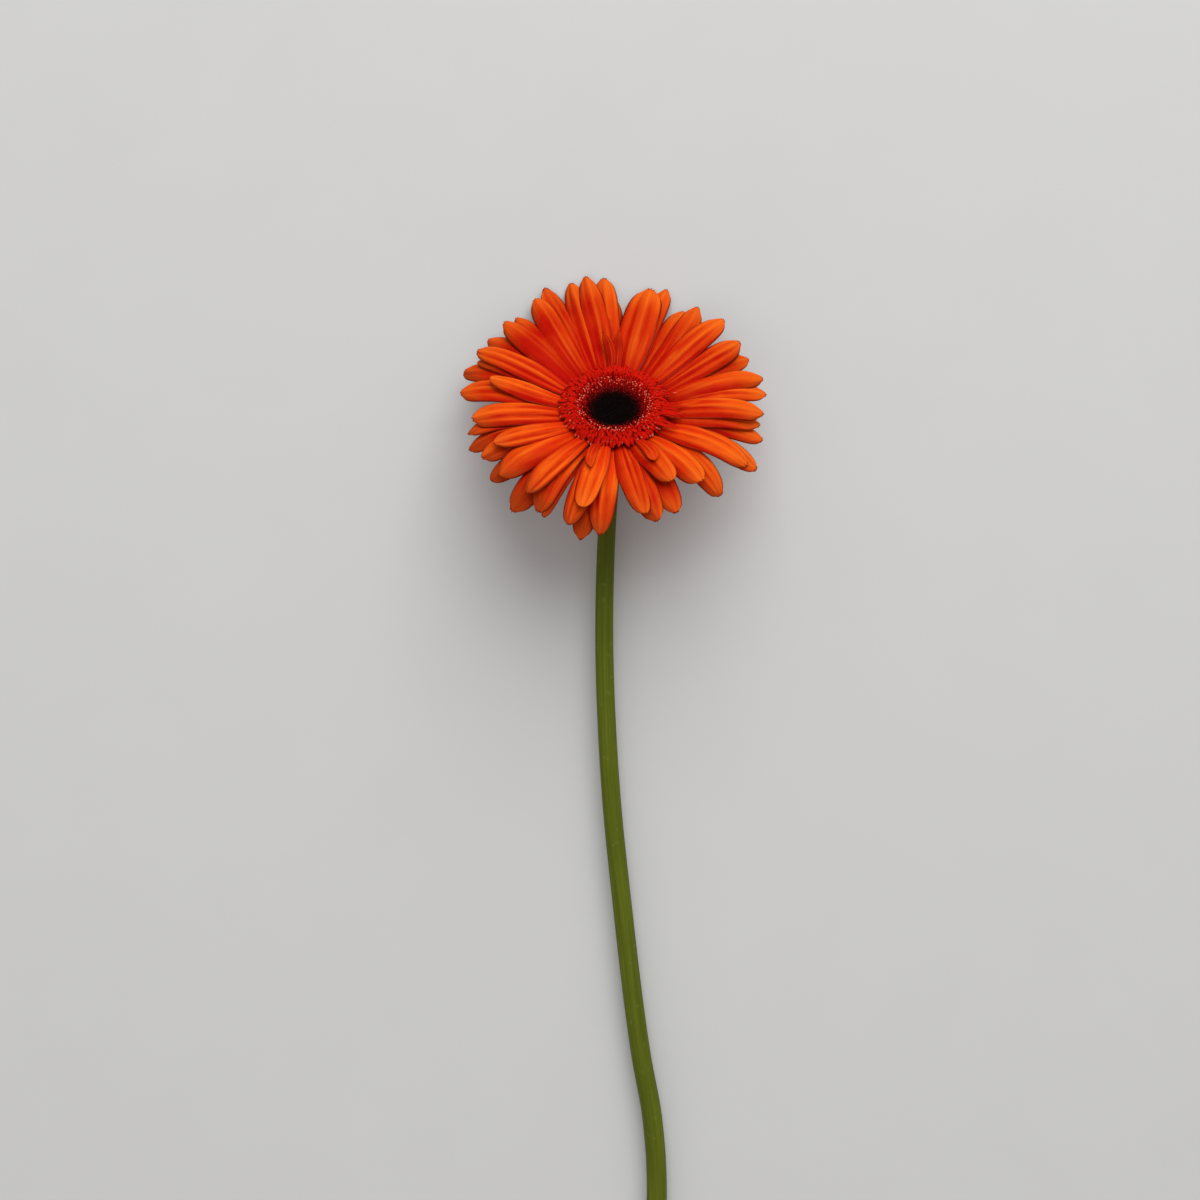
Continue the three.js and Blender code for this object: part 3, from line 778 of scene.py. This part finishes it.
# ---- Disc florets ---------------------------------------------------------------------------------
# The open florets of the rim: dark red rods packed side by side, many with a pale tip, here a knob.
# They fill the wall of the bowl from the eye up to the rim, and a dark bed of their packed bases
# closes the bowl under them and under the buds of the eye.
ROD_SIDES = 6
ROD_RADII = np.array([0.36, 0.36, 0.32, 0.24, 0.25, 0.21, 0.11])
ROD_LENGTHS = np.array([0.0, 0.45, 0.75, 0.86, 0.90, 0.96, 1.0])
ROD_ROWS = [
    # rods, radius and height of the tips, lean outwards in degrees
    (84, 15.0, 5.6, 34), (82, 14.3, 5.3, 30), (80, 13.6, 5.1, 24), (76, 12.9, 4.9, 18),
    (72, 12.2, 4.6, 12), (68, 11.5, 4.2, 7), (62, 10.8, 3.7, 3), (56, 10.1, 3.2, 0),
    (50, 9.5, 2.7, -3), (46, 8.9, 2.2, -6), (40, 8.3, 1.8, -8),
]
# On the low side the rods stand this much taller.
LOW_SIDE_LIFT = 0.9
# The rods are redder further out: from nothing at the first radius, over the next distance, up to
# the most. Towards the top of the face that begins nearer the middle.
TINT_FROM_R = 7.9
TINT_OVER = 6.5
TINT_MOST = 0.85
TINT_UP = 0.8
# Up to this share of the rods near one radius has a pale tip, and fewer have one away from it.
PALE_SHARE = 0.7
PALE_R = 12.5
PALE_SPREAD = 1.2
PALE_UP = 0.9
# The bed under them reddens in the same way.
BED_FROM_R = 8.5
BED_OVER = 12.0
BED_MOST = 0.3
BED_PROFILE = np.array([
    [0.6, -0.2], [7.0, -0.2], [9.0, -0.1], [12.4, 2.2], [12.7, 3.0], [12.3, 3.2], [11.0, 2.4],
    [9.0, 1.0], [7.0, 0.4], [0.6, 0.4],
])
BED_SIDES = 72


def rod_rings(radius, bearing, height, lean, length, scale):
    """Thin round rods that lean in or out from the axis, with a knob at the top: circles along a
    straight line."""
    turn = np.linspace(0, 2 * math.pi, ROD_SIDES, endpoint=False)
    down = (1 - ROD_LENGTHS)[None, :, None] * length[:, None, None]
    size = ROD_RADII[None, :, None] * scale[:, None, None]
    out = radius[:, None, None] - down * np.sin(lean)[:, None, None]
    out = out + size * np.cos(turn) * np.cos(lean)[:, None, None]
    up = height[:, None, None] - down * np.cos(lean)[:, None, None]
    up = up - size * np.cos(turn) * np.sin(lean)[:, None, None]
    return on_head(out, bearing[:, None, None], up, size * np.sin(turn))


def rod_material():
    """Rods that turn from near-black maroon by the eye to red at the rim, as tint climbs to 0.85. Those
    with tint 1 carry a pale pink knob."""
    material, start, _, along, where = new_material("disc_floret_red")
    tint = point_tint(start)
    grain = noise(start, where, 2400.0)
    rod = tint.tone([
        (0.0, (0.006, 0.0005, 0.0005)), (0.2, (0.15, 0.003, 0.003)), (0.45, (0.50, 0.007, 0.005)),
        (0.85, (0.80, 0.014, 0.006)),
    ])
    rod = ((1 - along.ramp(0.2, 0.8)) * 0.5).mix(rod, (0.12, 0.002, 0.002))
    pale = grain.tone([(0.3, (0.62, 0.13, 0.07)), (0.7, (0.90, 0.38, 0.25))])
    color = (along.ramp(0.82, 0.88) * tint.ramp(0.9, 0.95)).mix(rod, pale)
    surface(start, color, 0.6 + grain * 0.2, grain, 0.00008, specular=0.05)
    return material


rod_draw = np.random.default_rng(43)
rod_parts = []
for count, radius, height, lean in ROD_ROWS:
    around = (np.arange(count) + rod_draw.uniform()) * 2 * math.pi / count
    around += rod_draw.normal(0, 0.03, count)
    tall = height + LOW_SIDE_LIFT * np.clip(-np.cos(around), 0, 1)
    rod_parts.append(np.column_stack([
        radius + rod_draw.normal(0, 0.25, count), around, tall + rod_draw.normal(0, 0.3, count),
        np.radians(lean + rod_draw.normal(0, 6, count)), rod_draw.uniform(3.0, 3.8, count),
        rod_draw.uniform(0.85, 1.2, count),
    ]))
rods = np.concatenate(rod_parts)
rod_points = rod_rings(*rods.T)
rod_r, rod_up = rods[:, 0], np.cos(rods[:, 1])
rod_tint = (rod_r + TINT_UP * rod_up - TINT_FROM_R) / TINT_OVER + rod_draw.normal(0, 0.06, len(rods))
rod_tint = np.clip(rod_tint, 0.03, TINT_MOST)
pale_chance = PALE_SHARE * np.exp(-((rod_r + PALE_UP * rod_up - PALE_R) / PALE_SPREAD) ** 2)
rod_tint[rod_draw.uniform(0, 1, len(rods)) < pale_chance] = 1.0
rod_skin = rod_material()
disc = skins("disc_floret_rods", rod_points, round_uv(len(rods), len(ROD_RADII), ROD_SIDES), rod_tint)
fit(disc, "disc_florets", rod_skin)

bed_bearing = np.linspace(0, 2 * math.pi, BED_SIDES, endpoint=False)
bed_radius = BED_PROFILE[:, :1] + 0 * bed_bearing
bed_points = on_head(bed_radius, bed_bearing, BED_PROFILE[:, 1:] + 0 * bed_bearing)
bed_tint = np.clip((bed_radius - BED_FROM_R) / BED_OVER, 0, BED_MOST)
bed = skins("disc_floret_bed", bed_points[None], round_uv(1, len(BED_PROFILE), BED_SIDES), bed_tint)
fit(bed, "disc_florets", rod_skin)


# ---- Eye ------------------------------------------------------------------------------------------
# The closed buds in the middle of the disc, near black and velvety. They sit in the spirals of a
# seed head, each a golden angle on from the last, over a shallow bowl.
BUDS = 260
BUD_SIDES = 6
EYE_RADIUS = 8.2
BOWL_FLAT_R = 5.5
BOWL_FLOOR = 0.9
BOWL_CLIMB = 0.9
BUD_RADII = np.array([0.50, 0.56, 0.46, 0.24])
BUD_LEVELS = np.array([-1.6, -0.5, 0.0, 0.22])
GOLDEN_ANGLE = math.pi * (3 - math.sqrt(5))


def bud_rings(draw):
    """Rounded pegs at golden-angle steps. The bowl under them is flat, then climbs as a square."""
    number = np.arange(BUDS)
    radius = EYE_RADIUS * np.sqrt((number + 0.5) / BUDS)
    bearing = number * GOLDEN_ANGLE
    climb = np.clip((radius - BOWL_FLAT_R) / (EYE_RADIUS - BOWL_FLAT_R), 0, 1)
    level = BOWL_FLOOR + BOWL_CLIMB * climb**2 + draw.normal(0, 0.1, BUDS)
    turn = np.linspace(0, 2 * math.pi, BUD_SIDES, endpoint=False)
    size = draw.uniform(0.85, 1.15, (BUDS, 1, 1)) * BUD_RADII[None, :, None]
    out = radius[:, None, None] + size * np.cos(turn)
    up = level[:, None, None] + BUD_LEVELS[None, :, None] + 0 * turn
    return on_head(out, bearing[:, None, None], up, size * np.sin(turn)), radius / EYE_RADIUS


def bud_material():
    """Velvet black that turns maroon on the outer buds."""
    material, start, _, _, where = new_material("eye_velvet")
    tint = point_tint(start)
    grain = noise(start, where, 2600.0)
    color = tint.tone([
        (0.0, (0.0022, 0.0006, 0.0006)), (0.8, (0.004, 0.0006, 0.0006)), (1.0, (0.022, 0.001, 0.001)),
    ])
    color = (grain * 0.4).mix(color, (0.001, 0.0005, 0.0005))
    surface(start, color, 0.8 + grain * 0.2, grain, 0.00008, specular=0.06)
    return material


bud_points, bud_tint = bud_rings(np.random.default_rng(59))
eye = skins("eye_buds", bud_points, round_uv(BUDS, len(BUD_RADII), BUD_SIDES), bud_tint)
fit(eye, "eye", bud_material())


# ---- Floor and light ------------------------------------------------------------------------------
# A plain pale floor under one large soft light from beyond the head, a weaker one from the other side
# and the room's even light.
FLOOR_SIZE = 6.0
# Each light's name, place beside the head and above the floor, size and power.
LIGHTS = [("key", (0.3, 1.3, 1.4), 1.9, 39.0), ("fill", (-0.5, -1.0, 1.0), 1.4, 2.4)]
ROOM_LIGHT = 0.43


def floor_material():
    """Pale grey paper with the faintest mottle."""
    material, start, _, _, where = new_material("floor_paper")
    mottle = noise(start, where, 30.0)
    color = mottle.tone([(0.3, (0.580, 0.577, 0.571)), (0.7, (0.588, 0.585, 0.579))])
    surface(start, color, 0.9, mottle, 0.00003, specular=0.1)
    return material


half = FLOOR_SIZE / 2
floor_mesh = bpy.data.meshes.new("floor")
floor_mesh.from_pydata([(-half, -half, 0), (half, -half, 0), (half, half, 0), (-half, half, 0)], [],
                       [(0, 1, 2, 3)])
floor_mesh.uv_layers.new(name="strip")
floor = bpy.data.objects.new("floor", floor_mesh)
floor.data.materials.append(floor_material())
bpy.context.scene.collection.objects.link(floor)

for name, place, size, power in LIGHTS:
    lamp_data = bpy.data.lights.new(name, "AREA")
    lamp_data.shape = "SQUARE"
    lamp_data.size = size
    lamp_data.energy = power
    lamp = bpy.data.objects.new(name, lamp_data)
    lamp.location = (HEAD[0] + place[0], HEAD[1] + place[1], place[2])
    lean = math.atan2(place[0], place[2])
    lamp.rotation_euler = (-math.atan(math.cos(lean) * place[1] / place[2]), lean, 0.0)
    bpy.context.scene.collection.objects.link(lamp)

world = bpy.data.worlds.new("room")
world.use_nodes = True
world.node_tree.nodes["Background"].inputs["Color"].default_value = (1.0, 1.0, 1.0, 1.0)
world.node_tree.nodes["Background"].inputs["Strength"].default_value = ROOM_LIGHT
bpy.context.scene.world = world
bpy.context.scene.view_settings.view_transform = "Standard"
